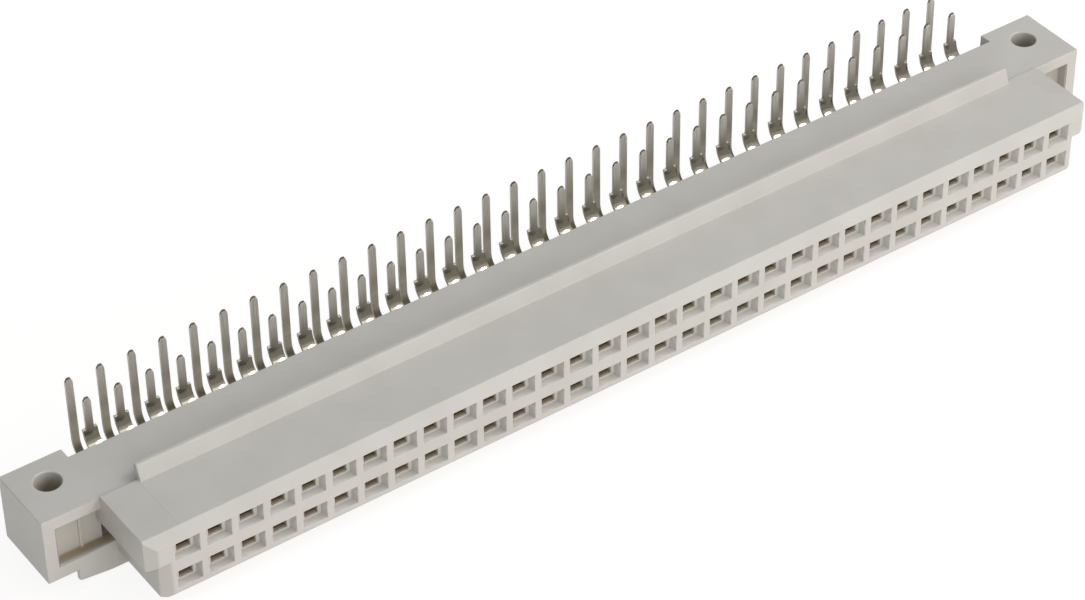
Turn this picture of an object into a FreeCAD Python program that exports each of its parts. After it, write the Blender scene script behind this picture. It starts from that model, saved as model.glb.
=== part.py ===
import FreeCAD, Part
import math
import os

# Right-angle socket connector for a circuit board: one moulded housing with two rows of
# sockets in its mating face, and a stamped contact in every socket whose tail turns up
# through the board. Sizes are in millimetres.
# X runs along the rows, Y from the mating face (minus) to the tails (plus), Z up through
# the board. The origin lies on the board seat, midway between the two mounting holes.

V = FreeCAD.Vector

# Socket grid
columns = 32
pitch = 2.54
row_spacing = 2.54

# Sockets in the mating face
funnel_width = 2.0
funnel_height = 1.5
funnel_floor_width = 1.6
funnel_floor_height = 1.25
funnel_depth = 0.6
socket_width = 1.1
socket_height = 1.0
front_wall = 0.5
chamber_width = 1.9
chamber_height = 2.0
chamber_length = 6.2
duct_width = 1.3
duct_height = 1.7

# Mounting holes and flanges
hole_diameter = 2.0
hole_to_end_column = 5.08
hole_to_flange_end = 2.55
hole_to_flange_inside = 2.42
hole_to_flange_front = 3.62
hole_to_flange_rear = 2.43
flange_height = 5.65

# Middle of the body, between the flanges
hole_to_body_rear = 1.42
body_height = 6.95
lip_inset = 2.35
lip_thickness = 0.35
lip_slope = 0.3
lip_corner_radius = 0.3
top_wall = 0.55

# Mating half, in front of the flanges
mating_reach = 6.45
mating_rise = 0.20
end_wall = 3.08
tab_height = 2.73
tab_overhang = 0.95
floor_wall = 0.66
top_lead_in = 0.75
tab_lead_in_height = 0.43
tab_lead_in_depth = 0.57
end_lead_in_width = 0.8
end_lead_in_depth = 0.65
floor_lead_in = 0.35

# Rib that the edge of the board stops against
rib_end_inset = 3.05
rib_height = 1.35
rib_top_depth = 0.45
rib_slope = 0.45
rib_rear_offset = 0.45

# Recess in the front of each flange, and the keyway beside the mating half
recess_wall = 1.05
recess_roof = 1.05
recess_floor = 1.20
recess_depth = 0.9
recess_ridge_width = 0.25
recess_ridge_height = 0.12
recess_ridge_from_wall = 2.05
keyway_width = 0.6
keyway_depth = 4.4

# Stamped contacts
sheet = 0.25
side_clearance = 0.1
anchor_length = 1.6
anchor_inset = 0.6
tine_gap = 0.1
tine_rise = 0.5
tine_ramp = 1.5
pinch_half_gap = 0.17
pinch_from_wall = 1.0
tine_tip_from_wall = 0.3
tine_flare = 0.25
tail_width = 0.6
tail_height = 2.94
tail_tip_length = 0.35
tail_tip_width = 0.26
tail_tip_thickness = 0.12
front_tail_offset = 3.06
tail_row_spacing = 2.54
upper_bend_radius = 1.3
lower_bend_radius = 0.95
bend_flats = 3
shoulder_width = 1.14
shoulder_height = 0.12

# Places that follow from the sizes
grid_length = (columns - 1) * pitch
hole_x = grid_length / 2 + hole_to_end_column
flange_end_x = hole_x + hole_to_flange_end
flange_inside_x = hole_x - hole_to_flange_inside
flange_front_y = -hole_to_flange_front
flange_rear_y = hole_to_flange_rear
body_rear_y = hole_to_body_rear
lip_end_x = flange_end_x - lip_inset
upper_row_z = -(top_wall + duct_height / 2)
lower_row_z = upper_row_z - row_spacing
mating_end_x = grid_length / 2 + end_wall
lower_end_x = mating_end_x - tab_overhang
mating_face_y = flange_front_y - mating_reach
mating_top_z = mating_rise
tab_bottom_z = mating_top_z - tab_height
mating_bottom_z = lower_row_z - duct_height / 2 - floor_wall
socket_floor_y = mating_face_y + funnel_depth
chamber_front_y = socket_floor_y + front_wall
chamber_rear_y = chamber_front_y + chamber_length
recess_back_y = flange_front_y + recess_depth
recess_floor_z = -flange_height + recess_floor
anchor_rear_y = body_rear_y - anchor_inset
anchor_front_y = anchor_rear_y - anchor_length


def block(x0, x1, y0, y1, z0, z1):
    return Part.makeBox(x1 - x0, y1 - y0, z1 - z0, V(x0, y0, z0))


def side_prism(outline, x0, x1):
    """Solid from an outline of (y, z) points, run from x0 to x1."""
    points = [V(x0, y, z) for y, z in outline]
    face = Part.Face(Part.makePolygon(points + points[:1]))
    return face.extrude(V(x1 - x0, 0, 0))


def plan_prism(outline, z0, z1):
    """Solid from an outline of (x, y) points, run from z0 to z1."""
    points = [V(x, y, z0) for x, y in outline]
    face = Part.Face(Part.makePolygon(points + points[:1]))
    return face.extrude(V(0, 0, z1 - z0))


def both_ends(right_end):
    """A shape at the right end with its mirror image at the left end."""
    return Part.makeCompound([right_end, right_end.mirror(V(0, 0, 0), V(1, 0, 0))])


def mating_plan(end_x, bottom_z):
    """Plan of a mating block with its two front corners cut back."""
    face_x = end_x - end_lead_in_width
    corner_y = mating_face_y + end_lead_in_depth
    outline = [
        (-end_x, flange_front_y),
        (-end_x, corner_y),
        (-face_x, mating_face_y),
        (face_x, mating_face_y),
        (end_x, corner_y),
        (end_x, flange_front_y),
    ]
    return plan_prism(outline, bottom_z, mating_top_z)


def tab_block():
    """Upper part of the mating half, wider than the lower part at both ends."""
    side = [
        (flange_front_y, mating_top_z),
        (mating_face_y + top_lead_in, mating_top_z),
        (mating_face_y, mating_top_z - top_lead_in),
        (mating_face_y, tab_bottom_z + tab_lead_in_height),
        (mating_face_y + tab_lead_in_depth, tab_bottom_z),
        (flange_front_y, tab_bottom_z),
    ]
    plan = mating_plan(mating_end_x, tab_bottom_z)
    return side_prism(side, -mating_end_x, mating_end_x).common(plan)


def lower_block():
    side = [
        (flange_front_y, tab_bottom_z + tab_lead_in_height),
        (mating_face_y, tab_bottom_z + tab_lead_in_height),
        (mating_face_y, mating_bottom_z + floor_lead_in),
        (mating_face_y + floor_lead_in, mating_bottom_z),
        (flange_front_y, mating_bottom_z),
    ]
    plan = mating_plan(lower_end_x, mating_bottom_z)
    return side_prism(side, -lower_end_x, lower_end_x).common(plan)


def board_rib():
    rear_y = flange_front_y + rib_rear_offset
    top_front_y = rear_y - rib_top_depth
    end_x = mating_end_x - rib_end_inset
    side = [
        (top_front_y - rib_slope, mating_top_z),
        (top_front_y, rib_height),
        (rear_y, rib_height),
        (rear_y, -top_wall / 2),
        (top_front_y - rib_slope, -top_wall / 2),
    ]
    return side_prism(side, -end_x, end_x)


def foot_lip():
    """Thin lip that carries on from the foot across the front of the right flange."""
    corner_z = -body_height + lip_slope
    outline = [
        (flange_inside_x, -flange_height),
        (lip_end_x, -flange_height),
        (lip_end_x, corner_z),
        (flange_inside_x, -body_height),
    ]
    points = [V(x, flange_front_y, z) for x, z in outline]
    face = Part.Face(Part.makePolygon(points + points[:1]))
    lip = face.extrude(V(0, lip_thickness, 0))
    corner = V(lip_end_x, flange_front_y + lip_thickness / 2, corner_z)
    edges = [edge for edge in lip.Edges if edge.CenterOfMass.isEqual(corner, 0.001)]
    return lip.makeFillet(lip_corner_radius, edges)


def end_recess():
    """Recess in the right flange's front face, with the upright ridge left on its back wall."""
    wall_x = flange_end_x - recess_wall
    keyway_x = lower_end_x + keyway_width
    recess = block(keyway_x, wall_x, flange_front_y, recess_back_y, recess_floor_z, -recess_roof)
    tab_root = block(
        keyway_x, mating_end_x, flange_front_y, recess_back_y, tab_bottom_z, -recess_roof
    )
    ridge_x = wall_x - recess_ridge_from_wall
    ridge = block(
        ridge_x - recess_ridge_width,
        ridge_x,
        recess_back_y - recess_ridge_height,
        recess_back_y,
        recess_floor_z,
        -recess_roof,
    )
    keyway = block(
        lower_end_x,
        keyway_x,
        flange_front_y,
        flange_front_y + keyway_depth,
        recess_floor_z,
        tab_bottom_z,
    )
    return recess.cut([tab_root, ridge]).fuse(keyway)


def mounting_hole():
    return Part.makeCylinder(hole_diameter / 2, flange_height, V(hole_x, 0, -flange_height))


def socket(x, z):
    """Space of one socket: funnel, hole, spring chamber and the duct that is open at the rear."""
    funnel = Part.makeWedge(
        x - funnel_width / 2,
        mating_face_y,
        z - funnel_height / 2,
        z - funnel_floor_height / 2,
        x - funnel_floor_width / 2,
        x + funnel_width / 2,
        socket_floor_y,
        z + funnel_height / 2,
        z + funnel_floor_height / 2,
        x + funnel_floor_width / 2,
    )
    hole = block(
        x - socket_width / 2,
        x + socket_width / 2,
        socket_floor_y,
        chamber_front_y,
        z - socket_height / 2,
        z + socket_height / 2,
    )
    chamber = block(
        x - chamber_width / 2,
        x + chamber_width / 2,
        chamber_front_y,
        chamber_rear_y,
        z - chamber_height / 2,
        z + chamber_height / 2,
    )
    duct = block(
        x - duct_width / 2,
        x + duct_width / 2,
        chamber_rear_y,
        body_rear_y,
        z - duct_height / 2,
        z + duct_height / 2,
    )
    return funnel.fuse([hole, chamber, duct])


def column_places():
    return [(index - (columns - 1) / 2) * pitch for index in range(columns)]


def housing():
    flange = block(flange_inside_x, flange_end_x, flange_front_y, flange_rear_y, -flange_height, 0)
    middle = block(
        -flange_inside_x, flange_inside_x, flange_front_y, body_rear_y, -body_height, 0
    )
    ends = both_ends(flange.fuse(foot_lip()))
    solid = middle.fuse([ends, tab_block(), lower_block(), board_rib()])
    sockets = [socket(x, z) for x in column_places() for z in (upper_row_z, lower_row_z)]
    solid = solid.cut(Part.makeCompound([both_ends(end_recess()), both_ends(mounting_hole())]))
    return solid.cut(Part.makeCompound(sockets)).removeSplitter()


def bent_strip(tail_y, row_z, bend_radius, width):
    """Flat strip from the anchor to the rear, turned up behind the body to the shoulder."""
    outer_y = tail_y + sheet / 2
    lower_z = row_z - sheet / 2
    radius = bend_radius + sheet
    outline = [V(-width / 2, outer_y, shoulder_height)]
    for step in range(bend_flats + 1):
        turn = math.pi / 2 * step / bend_flats
        y = outer_y - radius * (1 - math.cos(turn))
        z = lower_z + radius * (1 - math.sin(turn))
        outline.append(V(-width / 2, y, z))
    outline.append(V(-width / 2, anchor_rear_y, lower_z))
    face = Part.makePolygon(outline).makeOffset2D(sheet, join=2, fill=True, openResult=True)
    return face.extrude(V(width, 0, 0))


def tail_tip(tail_y):
    """Bevelled end of a tail."""
    tip = Part.makeWedge(
        -tail_width / 2,
        0,
        -sheet / 2,
        -tail_tip_thickness / 2,
        -tail_tip_width / 2,
        tail_width / 2,
        tail_tip_length,
        sheet / 2,
        tail_tip_thickness / 2,
        tail_tip_width / 2,
    )
    tip.rotate(V(0, 0, 0), V(1, 0, 0), 90)
    tip.translate(V(0, tail_y, tail_height - tail_tip_length))
    return tip


def upper_tine(row_z):
    """Spring tine that bows over the mating pin and pinches it, on the right half of the strip."""
    pin_side = [
        (anchor_front_y, row_z - sheet / 2),
        (anchor_front_y - tine_ramp, row_z + tine_rise),
        (chamber_front_y + pinch_from_wall, row_z + pinch_half_gap),
        (chamber_front_y + tine_tip_from_wall, row_z + pinch_half_gap + tine_flare),
    ]
    outline = pin_side + [(y, z + sheet) for y, z in reversed(pin_side)]
    return side_prism(outline, tine_gap / 2, duct_width / 2 - side_clearance)


def contact(row_z, tail_y, bend_radius, strip_width):
    """One stamping: two tines, the anchor pressed between the duct walls, and the tail."""
    over = upper_tine(row_z)
    under = over.copy()
    under.rotate(V(0, 0, row_z), V(0, 1, 0), 180)
    anchor = block(
        -duct_width / 2,
        duct_width / 2,
        anchor_front_y,
        anchor_rear_y,
        row_z - sheet / 2,
        row_z + sheet / 2,
    )
    tail = block(
        -tail_width / 2,
        tail_width / 2,
        tail_y - sheet / 2,
        tail_y + sheet / 2,
        shoulder_height,
        tail_height - tail_tip_length,
    )
    strip = bent_strip(tail_y, row_z, bend_radius, strip_width)
    return over.fuse([under, anchor, strip, tail, tail_tip(tail_y)]).removeSplitter()


def moved(shape, x):
    copy = shape.copy()
    copy.translate(V(x, 0, 0))
    return copy


os.makedirs("parts", exist_ok=True)
housing().exportStep("parts/housing.step")

upper_contact = contact(upper_row_z, front_tail_offset, upper_bend_radius, shoulder_width)
rear_tail_offset = front_tail_offset + tail_row_spacing
lower_contact = contact(lower_row_z, rear_tail_offset, lower_bend_radius, tail_width)
for number, x in enumerate(column_places(), 1):
    pair = Part.makeCompound([moved(upper_contact, x), moved(lower_contact, x)])
    pair.exportStep("parts/contacts_column_%02d.step" % number)
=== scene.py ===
# %% [markdown]
# # A two-row board connector, dressed in Blender
#
# The connector is one long moulding of pebble-grey plastic with 64 stamped contacts. Its solids come
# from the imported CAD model, which is loaded first and stays where it is. This lesson gives the solids
# what a camera sees from close by: rounded edges, a moulded skin, plated metal and studio light.

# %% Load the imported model
import math

import bmesh
import bpy
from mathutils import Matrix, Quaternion, Vector


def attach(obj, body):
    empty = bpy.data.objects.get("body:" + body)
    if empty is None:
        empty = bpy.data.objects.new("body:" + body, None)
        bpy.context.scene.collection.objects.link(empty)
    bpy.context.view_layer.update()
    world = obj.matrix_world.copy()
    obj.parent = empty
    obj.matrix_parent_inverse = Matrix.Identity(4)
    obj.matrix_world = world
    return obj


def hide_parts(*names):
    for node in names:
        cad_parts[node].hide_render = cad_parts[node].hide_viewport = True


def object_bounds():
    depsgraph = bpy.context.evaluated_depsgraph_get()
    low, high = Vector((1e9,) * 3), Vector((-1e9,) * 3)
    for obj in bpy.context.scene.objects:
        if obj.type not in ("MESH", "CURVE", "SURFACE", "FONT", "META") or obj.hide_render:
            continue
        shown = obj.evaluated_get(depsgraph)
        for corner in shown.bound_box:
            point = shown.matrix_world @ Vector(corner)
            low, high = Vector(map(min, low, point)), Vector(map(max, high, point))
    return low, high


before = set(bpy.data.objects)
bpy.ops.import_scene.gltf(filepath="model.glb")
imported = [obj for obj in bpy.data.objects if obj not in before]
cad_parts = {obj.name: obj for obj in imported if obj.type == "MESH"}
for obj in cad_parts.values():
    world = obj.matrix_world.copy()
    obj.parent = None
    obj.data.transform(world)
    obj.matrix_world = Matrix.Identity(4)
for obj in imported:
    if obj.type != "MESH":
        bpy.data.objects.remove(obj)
cad_low, cad_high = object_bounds()
MM = 0.001
print("CAD box in mm:", [round(side / MM, 2) for side in cad_high - cad_low])

# %% [markdown]
# ## The camera
#
# The camera comes before the looks, because every later step is judged through it. Its place was found
# by matching the even grid of sockets and tails with the photograph: a long lens, close to the part and
# above it, to the left. A look-at direction and a small roll are easier to read than three angles.

# %% Place the camera
PICTURE_WIDTH = 1085
FOCAL_LENGTH_PIXELS = 3564.3
camera_place = Vector((-120.14, -169.21, 165.20)) * MM
camera_direction = Vector((0.440485, 0.634643, -0.634981))
camera_roll = math.radians(-0.894)

lens = bpy.data.cameras.new("product_camera")
lens.sensor_width = 36.0
lens.lens = FOCAL_LENGTH_PIXELS / PICTURE_WIDTH * lens.sensor_width
lens.clip_start = 0.01
lens.clip_end = 20.0
camera = bpy.data.objects.new("product_camera", lens)
camera.location = camera_place
camera.rotation_mode = "QUATERNION"
level_turn = camera_direction.to_track_quat("-Z", "Y")
camera.rotation_quaternion = level_turn @ Quaternion((0, 0, 1), camera_roll)
bpy.context.scene.collection.objects.link(camera)
bpy.context.scene.camera = camera
print("lens in mm:", round(lens.lens, 1))

# %% [markdown]
# ## Places on the part
#
# Edges and colours are chosen by where they lie on the part. The places that more than one step needs
# are named once, in metres, with the same origin as the model: on the board seat, midway between the
# mounting holes. A place is found with a small margin, because the corners of a mesh are rounded
# numbers: NEAR is a hundredth of a millimetre, and a micrometre tells whether two heights are equal.

# %% Name the places
PITCH = 2.54 * MM
COLUMNS = 32
END_COLUMN = (COLUMNS - 1) / 2
UPPER_ROW_Z = -1.40 * MM
LOWER_ROW_Z = UPPER_ROW_Z - PITCH
MATING_FACE_Y = -10.07 * MM
FUNNEL_FLOOR_Y = MATING_FACE_Y + 0.60 * MM
CHAMBER_FRONT_Y = FUNNEL_FLOOR_Y + 0.50 * MM
CHAMBER_REAR_Y = CHAMBER_FRONT_Y + 6.20 * MM
BODY_REAR_Y = 1.42 * MM
FLANGE_FRONT_Y = -3.62 * MM
RECESS_BACK_Y = FLANGE_FRONT_Y + 0.90 * MM
MATING_TOP_Z = 0.20 * MM
TAIL_TOP_Z = 2.94 * MM
NEAR = 0.01 * MM
MICROMETRE = 0.001 * MM
print("rows at z in mm:", [round(row / MM, 2) for row in (UPPER_ROW_Z, LOWER_ROW_Z)])

# %% [markdown]
# ## The moulded skin
#
# A moulded surface is never quite even: it has soft mottling and a fine grain. Both could be painted on
# a picture, but noise needs none and has no seams. A node group holds the two noises, so that a
# material only places the group and gives it scales of its own.

# %% Build the moulded skin
def new_group(name, inputs, outputs):
    """An empty node group with its named inputs and outputs."""
    group = bpy.data.node_groups.new(name, "ShaderNodeTree")
    for title, kind, value in inputs:
        socket = group.interface.new_socket(title, in_out="INPUT", socket_type=kind)
        if value is not None:
            socket.default_value = value
    for title, kind in outputs:
        group.interface.new_socket(title, in_out="OUTPUT", socket_type=kind)
    entry = group.nodes.new("NodeGroupInput")
    result = group.nodes.new("NodeGroupOutput")
    return group, entry, result


def noise(tree, vector, scale, detail, roughness=0.5):
    """Soft noise from 0 to 1, with a scale that is a number or an output."""
    node = tree.nodes.new("ShaderNodeTexNoise")
    node.inputs["Detail"].default_value = detail
    node.inputs["Roughness"].default_value = roughness
    tree.links.new(vector, node.inputs["Vector"])
    if isinstance(scale, float):
        node.inputs["Scale"].default_value = scale
    else:
        tree.links.new(scale, node.inputs["Scale"])
    return node.outputs["Fac"]


skin_group, skin_in, skin_out = new_group(
    "moulded_skin",
    [
        ("Vector", "NodeSocketVector", None),
        ("Mottle Scale", "NodeSocketFloat", 300.0),
        ("Grain Scale", "NodeSocketFloat", 9000.0),
    ],
    [("Mottle", "NodeSocketFloat"), ("Grain", "NodeSocketFloat")],
)
mottle_noise = noise(skin_group, skin_in.outputs["Vector"], skin_in.outputs["Mottle Scale"], 3.0)
grain_noise = noise(skin_group, skin_in.outputs["Vector"], skin_in.outputs["Grain Scale"], 2.0)
skin_group.links.new(mottle_noise, skin_out.inputs["Mottle"])
skin_group.links.new(grain_noise, skin_out.inputs["Grain"])
print("group:", skin_group.name)

# %% [markdown]
# ## The drawn streaks
#
# Strip metal is rolled and drawn, which leaves fine streaks along it. The same noise gives them when it
# is stretched: its scale is high across the strip and low along it. This is a second node group,
# because all three metals use it.

# %% Build the drawn streaks
streak_group, streak_in, streak_out = new_group(
    "drawn_streaks",
    [
        ("Vector", "NodeSocketVector", None),
        ("Scale Across", "NodeSocketFloat", 14000.0),
        ("Scale Along", "NodeSocketFloat", 500.0),
    ],
    [("Streak", "NodeSocketFloat")],
)
stretch = streak_group.nodes.new("ShaderNodeCombineXYZ")
stretched = streak_group.nodes.new("ShaderNodeVectorMath")
stretched.operation = "MULTIPLY"
streak_group.links.new(streak_in.outputs["Scale Across"], stretch.inputs["X"])
streak_group.links.new(streak_in.outputs["Scale Across"], stretch.inputs["Y"])
streak_group.links.new(streak_in.outputs["Scale Along"], stretch.inputs["Z"])
streak_group.links.new(streak_in.outputs["Vector"], stretched.inputs[0])
streak_group.links.new(stretch.outputs["Vector"], stretched.inputs[1])
streak_noise = noise(streak_group, stretched.outputs["Vector"], 1.0, 3.0, 0.6)
streak_group.links.new(streak_noise, streak_out.inputs["Streak"])
print("group:", streak_group.name)

# %% [markdown]
# ## Small steps for materials
#
# Every material starts from the same few steps: a Principled shader, the place of a point in its
# object's own coordinates, and values that are spread between two ends. Naming the steps once keeps
# each material short enough to read.

# %% Start a material
def new_material(name):
    """A new material with its node tree and its Principled shader."""
    material = bpy.data.materials.new(name)
    material.use_nodes = True
    tree = material.node_tree
    return material, tree, tree.nodes["Principled BSDF"]


def object_place(tree):
    """Where a point lies in its object's own coordinates."""
    return tree.nodes.new("ShaderNodeTexCoord").outputs["Object"]


def axes(tree, place):
    """The three coordinates of a point, as outputs X, Y and Z."""
    split = tree.nodes.new("ShaderNodeSeparateXYZ")
    tree.links.new(place, split.inputs["Vector"])
    return split.outputs


def placed(tree, group, vector, **values):
    """A node group in a material, with values of its own."""
    node = tree.nodes.new("ShaderNodeGroup")
    node.node_tree = group
    tree.links.new(vector, node.inputs["Vector"])
    for title, value in values.items():
        node.inputs[title.replace("_", " ").title()].default_value = value
    return node


print("ready to start a material")

# %% [markdown]
# ## Values that change over a surface
#
# A mask is a value that is 1 on one area and 0 elsewhere. Masks made from coordinates follow the places
# named above and need no picture. Multiplied with each other they narrow an area, and the largest of
# them joins areas.

# %% Spread and combine values
RISING = (0.0, 1.0)
FALLING = (1.0, 0.0)


def spread(tree, value, source, target, smooth=False):
    """Maps a value from the range source to the range target."""
    node = tree.nodes.new("ShaderNodeMapRange")
    if smooth:
        node.interpolation_type = "SMOOTHSTEP"
    titles = ("From Min", "From Max", "To Min", "To Max")
    for title, number in zip(titles, (*source, *target)):
        node.inputs[title].default_value = number
    tree.links.new(value, node.inputs["Value"])
    return node.outputs["Result"]


def maths(tree, operation, first, second=None):
    """One step of arithmetic on outputs or plain numbers."""
    node = tree.nodes.new("ShaderNodeMath")
    node.operation = operation
    for number, value in enumerate((first, second)):
        if isinstance(value, (int, float)):
            node.inputs[number].default_value = value
        elif value is not None:
            tree.links.new(value, node.inputs[number])
    return node.outputs["Value"]


def product(tree, first, *others):
    """All the masks multiplied: the area that they have in common."""
    for other in others:
        first = maths(tree, "MULTIPLY", first, other)
    return first


def largest(tree, first, *others):
    """The largest of the masks at each point: all their areas together."""
    for other in others:
        first = maths(tree, "MAXIMUM", first, other)
    return first


def between(tree, value, low, high):
    """1 where a value lies between two limits, and 0 elsewhere."""
    above = maths(tree, "GREATER_THAN", value, low)
    return product(tree, above, maths(tree, "LESS_THAN", value, high))


print("masks rise and fall:", RISING, FALLING)

# %% [markdown]
# ## Colour and relief
#
# A mix node changes one colour into another where a mask says so. A bump node tilts the light as a
# relief would. That is enough for detail far finer than an edge radius, and it needs no faces.

# %% Mix colours and raise a relief
def mixed(tree, share, first, second):
    """Mixes two colours, each an output or a plain colour."""
    node = tree.nodes.new("ShaderNodeMix")
    node.data_type = "RGBA"
    tree.links.new(share, node.inputs["Factor"])
    for title, colour in (("A", first), ("B", second)):
        socket = [s for s in node.inputs if s.name == title and s.type == "RGBA"][0]
        if isinstance(colour, tuple):
            socket.default_value = (*colour, 1.0)
        else:
            tree.links.new(colour, socket)
    return [s for s in node.outputs if s.type == "RGBA"][0]


def bumped(tree, shader, height, distance):
    """Gives a shader a relief of the given height in metres."""
    node = tree.nodes.new("ShaderNodeBump")
    node.inputs["Strength"].default_value = 1.0
    node.inputs["Distance"].default_value = distance
    tree.links.new(height, node.inputs["Height"])
    tree.links.new(node.outputs["Normal"], shader.inputs["Normal"])


print("ready to mix colours and raise a relief")

# %% [markdown]
# ## Painted shade in the deep places of the housing
#
# Deep in the sockets, in the mounting holes and in the recesses of the flanges, the plastic lies in
# warm brown shade. Soft lamps alone leave these places too grey, so that shade is painted into the
# colour of the plastic there. One mask for each kind of place marks where. The part is the same on the
# left and on the right, so the masks use the distance from its middle.

# %% Mark the places of painted shade
SOCKETS_END_X = END_COLUMN * PITCH + 1.03 * MM
SOCKETS_BOTTOM_Z = LOWER_ROW_Z - 1.26 * MM
BROWN_TOP_Z = -0.35 * MM
RECESS_INNER_X = 41.50 * MM
RECESS_OUTER_X = 45.90 * MM
RECESS_FLOOR_Z = -4.45 * MM
HOLE_X = 44.45 * MM
HOLE_RADIUS = 1.00 * MM


def in_socket(tree, from_middle, at):
    """The inside of the sockets, behind the floors of their funnels, where shade is painted."""
    columns = maths(tree, "LESS_THAN", from_middle, SOCKETS_END_X)
    rows = between(tree, at["Z"], SOCKETS_BOTTOM_Z, BROWN_TOP_Z)
    length = between(tree, at["Y"], FUNNEL_FLOOR_Y, CHAMBER_REAR_Y)
    start = (FUNNEL_FLOOR_Y, FUNNEL_FLOOR_Y + 0.3 * MM)
    return product(tree, columns, rows, length, spread(tree, at["Y"], start, RISING, smooth=True))


def in_recess(tree, from_middle, at):
    """The floor of a flange's recess and, more faintly, its walls, where shade is painted."""
    across = between(tree, from_middle, RECESS_INNER_X, RECESS_OUTER_X)
    above_floor = maths(tree, "SUBTRACT", at["Z"], RECESS_FLOOR_Z)
    from_floor = maths(tree, "ABSOLUTE", above_floor)
    on_floor = spread(tree, from_floor, (0.05 * MM, 0.25 * MM), (0.95, 0.0))
    on_walls = spread(tree, at["Z"], (BROWN_TOP_Z, BROWN_TOP_Z + 0.05 * MM), (0.20, 0.0))
    on_walls = product(tree, on_walls, maths(tree, "GREATER_THAN", above_floor, 0.0))
    before_back = maths(tree, "LESS_THAN", at["Y"], RECESS_BACK_Y + 0.25 * MM)
    start = (FLANGE_FRONT_Y, FLANGE_FRONT_Y + 0.5 * MM)
    behind_front = spread(tree, at["Y"], start, RISING, smooth=True)
    return product(tree, across, largest(tree, on_floor, on_walls), before_back, behind_front)


def in_hole(tree, from_middle, at):
    """The wall of a mounting hole, with painted shade that is browner further down."""
    aside = maths(tree, "SUBTRACT", from_middle, HOLE_X)
    squares = maths(tree, "ADD", product(tree, aside, aside), product(tree, at["Y"], at["Y"]))
    inside = maths(tree, "LESS_THAN", maths(tree, "SQRT", squares), HOLE_RADIUS + 2 * NEAR)
    return product(tree, inside, spread(tree, at["Z"], (-2.0 * MM, -0.1 * MM), (0.75, 0.0)))


PAINTED_SHADE_PLACES = (in_socket, in_recess, in_hole)
print("kinds of deep place:", len(PAINTED_SHADE_PLACES))

# %% [markdown]
# ## The moulded plastic
#
# The housing is glass-filled polyester in pebble grey: satin, a little warm, and faintly mottled where
# the melt flowed. The mottling changes its colour by a few percent, between two greys. One colour for
# all would look like paint, and a picture of the plastic would show its edges.

# %% Colour the plastic
PEBBLE_GREY = (0.529, 0.512, 0.473)
PEBBLE_GREY_DEEP = (0.503, 0.486, 0.446)
PAINTED_SHADE_BROWN = (0.365, 0.295, 0.200)
NOISE_RANGE = (0.35, 0.65)

plastic, tree, shader = new_material("pebble_grey_moulding")
place = object_place(tree)
skin = placed(tree, skin_group, place, mottle_scale=260.0, grain_scale=8000.0)
mottle = spread(tree, skin.outputs["Mottle"], NOISE_RANGE, RISING)
colour = mixed(tree, mottle, PEBBLE_GREY_DEEP, PEBBLE_GREY)
at = axes(tree, place)
from_middle = maths(tree, "ABSOLUTE", at["X"])
# The deep places get painted shade: a warm brown mixed over the mottled grey.
masks = [painted_shade_place(tree, from_middle, at) for painted_shade_place in PAINTED_SHADE_PLACES]
painted_shade = largest(tree, *masks)
tree.links.new(mixed(tree, painted_shade, colour, PAINTED_SHADE_BROWN), shader.inputs["Base Color"])
print("plastic:", plastic.name)

# %% [markdown]
# ## The gloss of the plastic
#
# A mid roughness gives the satin. The grain changes it from point to point, and a low relief of grain
# and mottling keeps highlights from being ruler-straight. A thin witness line on the mating top, beside
# each end of the rib, shows where two mould inserts met. It is part of the relief, because it is far
# too thin to model.

# %% Give the plastic its gloss and relief
GRAIN_RANGE = (0.3, 0.7)
PLASTIC_ROUGHNESS = (0.36, 0.46)
GRAIN_RELIEF = (0.0, 0.6)
SKIN_HEIGHT = 0.012 * MM
RIB_END_X = 39.40 * MM
WITNESS_LINE = (0.04 * MM, 0.10 * MM)

gloss = spread(tree, skin.outputs["Grain"], GRAIN_RANGE, PLASTIC_ROUGHNESS)
tree.links.new(gloss, shader.inputs["Roughness"])
from_line = maths(tree, "ABSOLUTE", maths(tree, "SUBTRACT", from_middle, RIB_END_X))
line = spread(tree, from_line, WITNESS_LINE, FALLING, smooth=True)
on_top = spread(tree, at["Z"], (0.5 * MATING_TOP_Z, 0.9 * MATING_TOP_Z), RISING)
grain = spread(tree, skin.outputs["Grain"], RISING, GRAIN_RELIEF)
relief = maths(tree, "ADD", grain, skin.outputs["Mottle"])
relief = maths(tree, "ADD", relief, product(tree, line, on_top))
bumped(tree, shader, relief, SKIN_HEIGHT)
print("roughness of the plastic:", PLASTIC_ROUGHNESS)

# %% [markdown]
# ## Tin and gold
#
# Such contacts are stamped from copper-alloy strip. The tails are tinned for soldering, so they are
# satin silver with streaks along the strip, and the spring tines inside the sockets are gold, so the
# sockets glow tan. One material holds both, mixed by how far forward a point lies, because each contact
# is one piece. Low down, near the bends, the tin is painted browner and lowest down darker still, which
# is painted shade. On the very tips the brown alloy shows.

# %% Colour the plating
TIN = (0.950, 0.930, 0.895)
TIN_STREAK = (0.740, 0.720, 0.680)
TIN_PAINTED_SHADE = (0.720, 0.680, 0.590)
TIN_DEEPER_PAINTED_SHADE = (0.260, 0.235, 0.170)
GOLD = (0.780, 0.560, 0.270)
SHEARED_ALLOY = (0.200, 0.170, 0.130)
TAIL_SHADE_Z = (-1.00 * MM, 2.40 * MM)
LOWEST_SHADE_Z = (-3.50 * MM, -2.90 * MM)
GOLD_END_Y = (-4.50 * MM, -3.00 * MM)
BARE_TIP_Z = (TAIL_TOP_Z - 0.16 * MM, TAIL_TOP_Z - 0.05 * MM)

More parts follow.
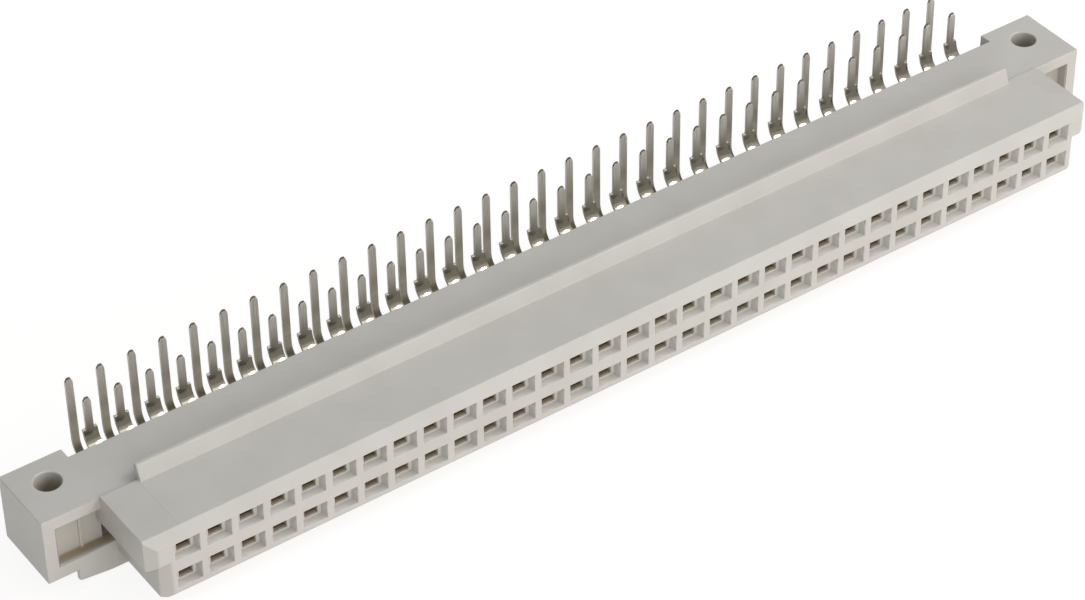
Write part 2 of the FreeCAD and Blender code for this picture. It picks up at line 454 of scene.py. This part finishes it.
tinned, tree, shader = new_material("tin_and_gold_plating")
place = object_place(tree)
at = axes(tree, place)
streaks = placed(tree, streak_group, place, scale_across=14000.0, scale_along=600.0)
streak = spread(tree, streaks.outputs["Streak"], NOISE_RANGE, RISING)
# Painted shade: the tin is browner towards the bends, and darker still lowest down.
way_up = spread(tree, at["Z"], TAIL_SHADE_Z, RISING, smooth=True)
plated = mixed(tree, way_up, TIN_PAINTED_SHADE, mixed(tree, streak, TIN_STREAK, TIN))
lowest = spread(tree, at["Z"], LOWEST_SHADE_Z, FALLING, smooth=True)
plated = mixed(tree, lowest, plated, TIN_DEEPER_PAINTED_SHADE)
gold_share = spread(tree, at["Y"], GOLD_END_Y, FALLING, smooth=True)
plated = mixed(tree, gold_share, plated, GOLD)
bare = spread(tree, at["Z"], BARE_TIP_Z, RISING)
tree.links.new(mixed(tree, bare, plated, SHEARED_ALLOY), shader.inputs["Base Color"])
print("plating:", tinned.name)

# %% [markdown]
# ## The polish of the plating
#
# Forming polished the short bends below the shoulders, which is why they hold a bright band of light in
# the photograph. There the roughness is low and the streaks are gone. The long rear tails are duller
# than the short ones. Roughness does this better than colour, because the band then moves with the
# light and the camera.

# %% Polish the plating
POLISHED_TOP_Z = (-0.40 * MM, 0.20 * MM)
POLISHED_BOTTOM_Z = (-1.90 * MM, -1.70 * MM)
REAR_ROW_Y = (4.20 * MM, 4.40 * MM)
TIN_ROUGHNESS = (0.50, 0.42)
REAR_ROW_ROUGHER = (0.0, 0.26)
POLISHED_SMOOTHER = (0.0, 0.33)
STREAK_HEIGHT = MICROMETRE

below_shoulder = spread(tree, at["Z"], POLISHED_TOP_Z, FALLING, smooth=True)
above_lower_row = spread(tree, at["Z"], POLISHED_BOTTOM_Z, RISING)
polished = product(tree, below_shoulder, above_lower_row)
streaked = product(tree, streak, spread(tree, polished, RISING, FALLING))
satin = spread(tree, streaked, RISING, TIN_ROUGHNESS)
satin = maths(tree, "ADD", satin, spread(tree, at["Y"], REAR_ROW_Y, REAR_ROW_ROUGHER))
gloss = maths(tree, "SUBTRACT", satin, spread(tree, polished, RISING, POLISHED_SMOOTHER))
tree.links.new(gloss, shader.inputs["Roughness"])
shader.inputs["Metallic"].default_value = 1.0
bumped(tree, shader, streaked, STREAK_HEIGHT)
print("roughness of the tin:", TIN_ROUGHNESS)

# %% [markdown]
# ## Die-cut sides and sheared tips
#
# The die leaves the narrow sides of a strip duller than its rolled faces. Low down they are darker,
# which is painted shade. Where the carrier strip was sheared off, at the very tip of a tail, the brown
# alloy lies bare. Both are plain metals of their own, which is simpler than finding the sides of a strip
# inside one material.

# %% Make the cut metals
CUT_EDGE = (0.560, 0.545, 0.510)
CUT_EDGE_PAINTED_SHADE = (0.340, 0.320, 0.260)
BLACK = (0.0, 0.0, 0.0)
CUT_STREAK = (0.85, 1.0)
SHEARED_ROUGHNESS = (0.45, 0.55)

cut_edge, tree, shader = new_material("die_cut_edge")
place = object_place(tree)
streaks = placed(tree, streak_group, place, scale_across=14000.0, scale_along=2500.0)
streak = spread(tree, streaks.outputs["Streak"], NOISE_RANGE, CUT_STREAK)
# Painted shade: the die-cut sides are darker towards the bends.
way_up = spread(tree, axes(tree, place)["Z"], TAIL_SHADE_Z, RISING, smooth=True)
edge_colour = mixed(tree, way_up, CUT_EDGE_PAINTED_SHADE, CUT_EDGE)
tree.links.new(mixed(tree, streak, BLACK, edge_colour), shader.inputs["Base Color"])
shader.inputs["Roughness"].default_value = 0.5
shader.inputs["Metallic"].default_value = 1.0

sheared, tree, shader = new_material("sheared_alloy")
place = object_place(tree)
streaks = placed(tree, streak_group, place, scale_across=20000.0, scale_along=9000.0)
streak = spread(tree, streaks.outputs["Streak"], NOISE_RANGE, RISING)
deep_alloy = tuple(0.7 * part for part in SHEARED_ALLOY)
tree.links.new(mixed(tree, streak, deep_alloy, SHEARED_ALLOY), shader.inputs["Base Color"])
tree.links.new(spread(tree, streak, RISING, SHEARED_ROUGHNESS), shader.inputs["Roughness"])
shader.inputs["Metallic"].default_value = 1.0
print("cut metals:", cut_edge.name, sheared.name)

# %% [markdown]
# ## A clean copy of the housing
#
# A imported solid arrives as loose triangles, which no bevel can follow. A copy is merged, and its flat
# triangles are dissolved into whole faces, so that only real edges are left. The faces that all the
# sockets open through keep their triangles, because one polygon can't have holes.

# %% Copy the housing
PIERCED_Y = (MATING_FACE_Y, FUNNEL_FLOOR_Y, CHAMBER_FRONT_Y, CHAMBER_REAR_Y, BODY_REAR_Y)
MERGE_DISTANCE = 0.5 * MICROMETRE
FLAT_ANGLE = math.radians(0.5)


def clean_copy(node_name, keeps_triangles=None):
    """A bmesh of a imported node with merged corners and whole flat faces."""
    shape = bmesh.new()
    shape.from_mesh(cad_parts[node_name].data)
    bmesh.ops.remove_doubles(shape, verts=shape.verts, dist=MERGE_DISTANCE)
    edges = list(shape.edges)
    if keeps_triangles:
        edges = [edge for edge in edges if not any(map(keeps_triangles, edge.link_faces))]
    bmesh.ops.dissolve_limit(shape, angle_limit=FLAT_ANGLE, verts=[], edges=edges)
    return shape


def pierced(face):
    """True on the flat faces that all the sockets open through."""
    return any(abs(face.calc_center_median().y - y) < NEAR for y in PIERCED_Y)


shape = clean_copy("housing", keeps_triangles=pierced)
print("faces of the clean housing:", len(shape.faces))

# %% [markdown]
# ## The two faces full of holes
#
# The mating face and the rear face show, so their long thin triangles would spoil the shading next to
# the rounded rims. They are cut along the lines of the holes' edges, and the slanted edges left from
# the triangles are dissolved. That leaves a plain grid of rectangles around the holes.

# %% Cut the faces into a grid
FUNNEL_SIZE = (2.00 * MM, 1.50 * MM)
DUCT_SIZE = (1.30 * MM, 1.70 * MM)
ON_FACE = 0.1 * MICROMETRE
SLANTED = 0.02 * MICROMETRE


def lay_in_cells(shape, y, hole_size):
    """Cuts the flat face at y, which is full of holes, along the lines of their edges."""
    width, height = hole_size

    def on_face():
        return [face for face in shape.faces if all(abs(v.co.y - y) < ON_FACE for v in face.verts)]

    def cut(place, direction):
        faces = on_face()
        edges = {edge for face in faces for edge in face.edges}
        corners = {corner for face in faces for corner in face.verts}
        bmesh.ops.bisect_plane(
            shape,
            geom=faces + list(edges) + list(corners),
            dist=ON_FACE,
            plane_co=place,
            plane_no=direction,
        )

    for column in range(COLUMNS):
        for side in (-0.5, 0.5):
            x = (column - END_COLUMN) * PITCH + side * width
            cut(Vector((x, 0, 0)), Vector((1, 0, 0)))
    for row_z in (UPPER_ROW_Z, LOWER_ROW_Z):
        for side in (-0.5, 0.5):
            cut(Vector((0, 0, row_z + side * height)), Vector((0, 0, 1)))
    faces = set(on_face())
    slanted = []
    for edge in shape.edges:
        run = edge.verts[1].co - edge.verts[0].co
        if all(face in faces for face in edge.link_faces) and min(abs(run.x), abs(run.z)) > SLANTED:
            slanted.append(edge)
    bmesh.ops.dissolve_edges(shape, edges=slanted, use_verts=True)


lay_in_cells(shape, MATING_FACE_Y, FUNNEL_SIZE)
lay_in_cells(shape, BODY_REAR_Y, DUCT_SIZE)
print("faces with the grids:", len(shape.faces))

# %% [markdown]
# ## The moulded radii
#
# Moulded edges are never knife-sharp: the outer ones have about a tenth of a millimetre of radius, and
# they catch light as thin soft lines. The rims of the sockets are finer, and so are the edges around
# the slope above them, where corners lie close together. The hidden edges of the spring chambers stay
# sharp. A function tells an edge's radius from its place, which is steadier than picking edges by hand.

# %% Choose the radius of each edge
OUTER_RADIUS = 0.12 * MM
INNER_CORNER_RADIUS = 0.06 * MM
SOCKET_RADIUS = 0.05 * MM
LAND_RADIUS = 0.045 * MM
FLANGE_END_RADIUS = 0.07 * MM
FINE_RADIUS = 0.03 * MM
FLATTEST_ROUNDED = math.radians(22)
FRONT_TOP_Z = MATING_TOP_Z - 0.75 * MM
SLOPE_REAR_Y = MATING_FACE_Y + 0.75 * MM
MATING_END_X = 42.45 * MM
MATING_CORNER = 0.90 * MM
FLANGE_SIDE_X = 42.00 * MM
FLANGE_END_X = 47.00 * MM
RIDGE_REACH = 0.20 * MM
SOCKET_REACH = 1.02 * MM


def offset_from_socket(point):
    """How far a point lies from the middle of the nearest socket, across and up."""
    column = round(point.x / PITCH - 0.5) + 0.5
    column = max(-END_COLUMN, min(END_COLUMN, column))
    row = min((UPPER_ROW_Z, LOWER_ROW_Z), key=lambda z: abs(point.z - z))
    return abs(point.x - column * PITCH), abs(point.z - row)


def housing_radius(edge):
    """The moulded radius of one edge of the housing."""
    if edge.calc_face_angle() < FLATTEST_ROUNDED:
        return 0.0
    middle = (edge.verts[0].co + edge.verts[1].co) / 2
    aside = abs(middle.x)
    highest = max(corner.co.z for corner in edge.verts)
    on_top = highest > MATING_TOP_Z - NEAR
    on_front_edge = middle.y < MATING_FACE_Y + NEAR and middle.z > FRONT_TOP_Z - NEAR
    on_slope = middle.y < SLOPE_REAR_Y + NEAR and highest > FRONT_TOP_Z - NEAR
    on_slope_rim = on_slope and (on_top or aside > MATING_END_X - MATING_CORNER)
    if on_front_edge or on_slope_rim or (on_top and aside > MATING_END_X - NEAR):
        return LAND_RADIUS
    if highest > -NEAR and aside > FLANGE_END_X - NEAR:
        return FLANGE_END_RADIUS
    if max(offset_from_socket(middle)) < SOCKET_REACH:
        hidden = middle.y > FUNNEL_FLOOR_Y + NEAR or not edge.is_convex
        return 0.0 if hidden else SOCKET_RADIUS
    if aside > FLANGE_SIDE_X and abs(middle.y - RECESS_BACK_Y) < RIDGE_REACH:
        return FINE_RADIUS
    return OUTER_RADIUS if edge.is_convex else INNER_CORNER_RADIUS


print("outer radius in mm:", round(OUTER_RADIUS / MM, 2))

# %% [markdown]
# ## Weights for the bevel
#
# Each edge gets a weight, its radius as a share of the largest one. One bevel reads the weights later,
# so that corners where different radii meet stay clean. Edges that are neither rounded nor nearly flat
# are marked sharp, which keeps the shading of the faces beside them apart.

# %% Weigh the edges of the housing
SHADED_AS_ONE = math.radians(40)


def weigh_edges(shape, radius_of, full_radius):
    """Gives each edge its radius as a share of the full one, and counts the rounded edges."""
    weight = shape.edges.layers.float.new("bevel_weight_edge")
    rounded = 0
    for edge in shape.edges:
        if len(edge.link_faces) == 2:
            edge[weight] = radius_of(edge) / full_radius
            rounded += edge[weight] > 0
            edge.smooth = edge[weight] > 0 or edge.calc_face_angle() < SHADED_AS_ONE
    return rounded


print("rounded edges on the housing:", weigh_edges(shape, housing_radius, OUTER_RADIUS))

# %% [markdown]
# ## The finished housing
#
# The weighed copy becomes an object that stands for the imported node, which keeps its own mesh. A bevel
# modifier rounds the edges by their weights, and a weighted normal keeps the large faces looking flat
# beside the rounded strips. The modifiers stay live, so the radii can still be changed.

# %% Finish the housing
def new_object(shape, name, materials):
    """Turns a bmesh into an object in the scene."""
    mesh = bpy.data.meshes.new(name)
    shape.to_mesh(mesh)
    shape.free()
    for material in materials:
        mesh.materials.append(material)
    made = bpy.data.objects.new(name, mesh)
    bpy.context.scene.collection.objects.link(made)
    return made


def finish_piece(shape, name, node_name, radius, segments, materials):
    """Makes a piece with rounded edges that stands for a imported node."""
    for face in shape.faces:
        face.smooth = True
    piece = new_object(shape, name, materials)
    bevel = piece.modifiers.new("rounded_edges", "BEVEL")
    bevel.limit_method = "WEIGHT"
    bevel.width = radius
    bevel.segments = segments
    bevel.profile = 0.5
    bevel.use_clamp_overlap = False
    bevel.loop_slide = False
    evened = piece.modifiers.new("flat_faces_stay_flat", "WEIGHTED_NORMAL")
    evened.keep_sharp = True
    evened.weight = 100
    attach(piece, "root")
    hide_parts(node_name)
    print("finished:", piece.name)


finish_piece(shape, "housing_moulding", "housing", OUTER_RADIUS, 3, [plastic])

# %% [markdown]
# ## The pressed outline of a contact
#
# The solids show each bend as three flats and each corner of the outline as sharp, but a press rounds
# them all. These corners are larger than the rolled edges, and each kind has a radius of its own, so
# they are bevelled in the mesh, one kind after the other. An edge's height and angle tell its kind.

# %% Name the pressed corners
TAIL_TIP_Z = TAIL_TOP_Z - 0.35 * MM
SHOULDER_TOP_Z = 0.12 * MM
SHOULDER_BEND_Z = -0.05 * MM
BEND_TOP_Z = 0.05 * MM
LONG_BEND_TOP_Z = UPPER_ROW_Z - 0.50 * MM
BEND_ANGLES = (10, 35)
CORNER_ANGLE = 15
PRESSED = {
    "long bend": 0.22 * MM,
    "short bend": 0.30 * MM,
    "bend under shoulder": 0.08 * MM,
    "shoulder corner": 0.14 * MM,
    "shoulder root": 0.06 * MM,
    "tip shoulder": 0.14 * MM,
    "tip corner": 0.07 * MM,
}


def pressed_kind(edge):
    """Names the pressed corner that an edge belongs to, or gives None."""
    low, high = sorted(corner.co.z for corner in edge.verts)
    run = edge.verts[1].co - edge.verts[0].co
    middle = (edge.verts[0].co + edge.verts[1].co) / 2
    angle = math.degrees(edge.calc_face_angle())
    if middle.y < BODY_REAR_Y or high - low > MICROMETRE:
        return None
    if abs(run.y) < MICROMETRE:
        if high > BEND_TOP_Z or not BEND_ANGLES[0] < angle < BEND_ANGLES[1]:
            return None
        if middle.z < LONG_BEND_TOP_Z:
            return "long bend"
        return "bend under shoulder" if middle.z > SHOULDER_BEND_Z else "short bend"
    if abs(run.x) > MICROMETRE or angle < CORNER_ANGLE:
        return None
    if abs(middle.z - SHOULDER_TOP_Z) < MICROMETRE:
        return "shoulder corner" if edge.is_convex else "shoulder root"
    if abs(middle.z - TAIL_TIP_Z) < MICROMETRE:
        return "tip shoulder"
    return "tip corner" if middle.z > TAIL_TIP_Z else None


print("kinds of pressed corner:", len(PRESSED))

# %% [markdown]
# ## Pressing the outline
#
# One bevel for all the corners would need one radius, so each kind is bevelled by itself. The later
# kinds find their edges again after the earlier ones, because a bevel makes new edges.

# %% Press the outline of a contact
PRESS_SEGMENTS = 3


def press(shape):
    """Rounds the outline and the bends of the strips."""
    for kind, offset in PRESSED.items():
        edges = [edge for edge in shape.edges if len(edge.link_faces) == 2]
        edges = [edge for edge in edges if pressed_kind(edge) == kind]
        bmesh.ops.bevel(
            shape,
            geom=edges,
            offset=offset,
            offset_type="OFFSET",
            segments=PRESS_SEGMENTS,
            profile=0.5,
            affect="EDGES",
            clamp_overlap=False,
            material=-1,
        )


print("flats in each pressed corner:", PRESS_SEGMENTS)

# %% [markdown]
# ## The finished contacts
#
# Stamping rolls the long edges of a strip a little, which the bevel modifier does by weight, as on the
# housing. Then each face gets its metal: die-cut sides are duller, and the tips show bare alloy. Each
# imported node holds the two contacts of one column, and one loop dresses all 32 of them.

# %% Dress the contacts
TIP_RADIUS = 0.05 * MM
STRIP_RADIUS = 0.03 * MM
TIP_END_Z = TAIL_TIP_Z + 0.15 * MM
TIP_EDGE_ANGLE = math.radians(35)
STRIP_EDGE_ANGLE = math.radians(50)
METALS = [tinned, cut_edge, sheared]


def contact_radius(edge):
    """The rolled radius of one edge of a contact."""
    angle = edge.calc_face_angle()
    if min(corner.co.z for corner in edge.verts) > TIP_END_Z:
        return TIP_RADIUS if angle > TIP_EDGE_ANGLE else 0.0
    behind_body = max(corner.co.y for corner in edge.verts) > BODY_REAR_Y
    return STRIP_RADIUS if behind_body and angle > STRIP_EDGE_ANGLE else 0.0


def metal_of(face):
    """Which of the three metals a face of a contact shows."""
    middle = face.calc_center_median()
    sideways = abs(face.normal.x)
    if middle.z > TAIL_TIP_Z and (sideways > 0.3 or face.normal.z > 0.8):
        return sheared
    if middle.y > BODY_REAR_Y and sideways > 0.5:
        return cut_edge
    return tinned


for number in range(1, COLUMNS + 1):
    node_name = "contacts_column_%02d" % number
    shape = clean_copy(node_name)
    press(shape)
    weigh_edges(shape, contact_radius, TIP_RADIUS)
    for face in shape.faces:
        face.material_index = METALS.index(metal_of(face))
    finish_piece(shape, "plated_" + node_name, node_name, TIP_RADIUS, 2, METALS)
print("contacts dressed:", 2 * COLUMNS)

# %% [markdown]
# ## The floor
#
# The photograph has a plain white ground. The floor takes light and keeps the part's shadow, and for
# the camera and for reflections it is lifted to white by a share of emission, so that no extra light
# has to fall on the part. It isn't part of the connector.

# %% Lay the floor
FLOOR_Z = cad_low.z
FLOOR_REACH = 2.0
PAPER = (0.91, 0.860, 0.800)
WHITE = (1.0, 1.0, 1.0)
WHITE_SHARE = 0.80
WHITE_LIFT = 1.09


def sees_background(tree):
    """1 for rays from the camera, and for reflected and passing rays."""
    path = tree.nodes.new("ShaderNodeLightPath").outputs
    return largest(tree, path["Is Camera Ray"], path["Is Glossy Ray"], path["Is Transmission Ray"])


def shining(tree, kind, colour, strength):
    """The output of an emission or background node."""
    node = tree.nodes.new(kind)
    node.inputs["Color"].default_value = (*colour, 1.0)
    node.inputs["Strength"].default_value = strength
    return node.outputs[0]


def show_blend(tree, share, first, second, end):
    """Sends a blend of two shaders to the end node of a material or world."""
    blend = tree.nodes.new("ShaderNodeMixShader")
    tree.links.new(share, blend.inputs["Fac"])
    tree.links.new(first, blend.inputs[1])
    tree.links.new(second, blend.inputs[2])
    tree.links.new(blend.outputs["Shader"], tree.nodes[end].inputs["Surface"])


paper, tree, shader = new_material("white_paper")
shader.inputs["Base Color"].default_value = (*PAPER, 1.0)
shader.inputs["Roughness"].default_value = 0.9
share = maths(tree, "MULTIPLY", sees_background(tree), WHITE_SHARE)
glow = shining(tree, "ShaderNodeEmission", WHITE, WHITE_LIFT)
show_blend(tree, share, shader.outputs["BSDF"], glow, "Material Output")

ground = bmesh.new()
bmesh.ops.create_grid(ground, x_segments=1, y_segments=1, size=FLOOR_REACH)
bmesh.ops.translate(ground, verts=ground.verts, vec=(0, 0, FLOOR_Z))
new_object(ground, "floor", [paper])
print("floor at z in mm:", round(FLOOR_Z / MM, 2))

# %% [markdown]
# ## The room
#
# Above the horizon the world does what the floor does below it: the camera and reflections see plain
# white, and the part gets a dimmer, slightly cool light from all sides, which is most of its light.

# %% Light the room
AMBIENT = (0.910, 0.960, 1.0)
AMBIENT_STRENGTH = 0.445

world = bpy.data.worlds.new("studio")
bpy.context.scene.world = world
world.use_nodes = True
tree = world.node_tree
ambient = shining(tree, "ShaderNodeBackground", AMBIENT, AMBIENT_STRENGTH)
backdrop = shining(tree, "ShaderNodeBackground", WHITE, 1.0)
show_blend(tree, sees_background(tree), ambient, backdrop, "World Output")
print("ambient strength:", AMBIENT_STRENGTH)

# %% [markdown]
# ## Dark cards
#
# Metal shows its surroundings. In a white room the bends of the contacts would be white all over, but
# in the photograph they are grey with one bright band. A photographer gets that with dark cards set
# around the part. Here they are one ring, which only reflections see: it gives no shade, takes no light
# away, and the camera looks through it.

# %% Set up the dark cards
CARD_COLOUR = (0.400, 0.385, 0.360)
CARD_DISTANCE = 0.90
CARD_HEIGHT = 1.05
CARD_GAP = 0.02

card_board, tree, shader = new_material("dark_card")
tree.nodes.remove(shader)
glow = shining(tree, "ShaderNodeEmission", CARD_COLOUR, 1.0)
tree.links.new(glow, tree.nodes["Material Output"].inputs["Surface"])

ring = bmesh.new()
bmesh.ops.create_cone(
    ring,
    cap_ends=False,
    segments=48,
    radius1=CARD_DISTANCE,
    radius2=CARD_DISTANCE,
    depth=CARD_HEIGHT,
)
bmesh.ops.translate(ring, verts=ring.verts, vec=(0, 0, FLOOR_Z + CARD_GAP + CARD_HEIGHT / 2))
cards = new_object(ring, "dark_cards", [card_board])
cards.visible_camera = False
cards.visible_diffuse = False
cards.visible_shadow = False
cards.visible_transmission = False
print("card height in m:", CARD_HEIGHT)

# %% [markdown]
# ## The lamps
#
# The front and the right end of the part are the brightest in the photograph, the top is a little
# darker, and the left end is in soft shade. The key light hangs in front, high up and to the right,
# near enough to fall off along the part. It is a small soft box beside a wide one: the small one makes
# the narrow bright band in the bends, and the wide one keeps the shadows soft. A low, wide fill in
# front lifts the upright faces. The two wide boxes are kept out of reflections.

# %% Hang the lamps
KEY_COLOUR = (1.0, 0.963, 0.968)
FILL_COLOUR = (0.99, 0.970, 0.99)
part_middle = (cad_low + cad_high) / 2


def soft_box(name, place, size, watts, colour, in_reflections):
    """A square lamp that looks at the middle of the part."""
    lamp = bpy.data.lights.new(name, "AREA")
    lamp.shape = "SQUARE"
    lamp.size = size
    lamp.energy = watts
    lamp.color = colour
    box = bpy.data.objects.new(name, lamp)
    box.location = place
    box.rotation_mode = "QUATERNION"
    box.rotation_quaternion = (part_middle - Vector(place)).to_track_quat("-Z", "Y")
    box.visible_glossy = in_reflections
    bpy.context.scene.collection.objects.link(box)


soft_box("key_light", (0.125, -0.112, 0.222), 0.09, 0.14, KEY_COLOUR, in_reflections=True)
soft_box("wide_key", (0.150, -0.115, 0.222), 0.30, 0.40, KEY_COLOUR, in_reflections=False)
soft_box("front_fill", (-0.03, -0.34, 0.04), 0.30, 0.80, FILL_COLOUR, in_reflections=False)
bpy.context.scene.view_settings.view_transform = "Standard"
print("lamps:", [lamp.name for lamp in bpy.data.lights])
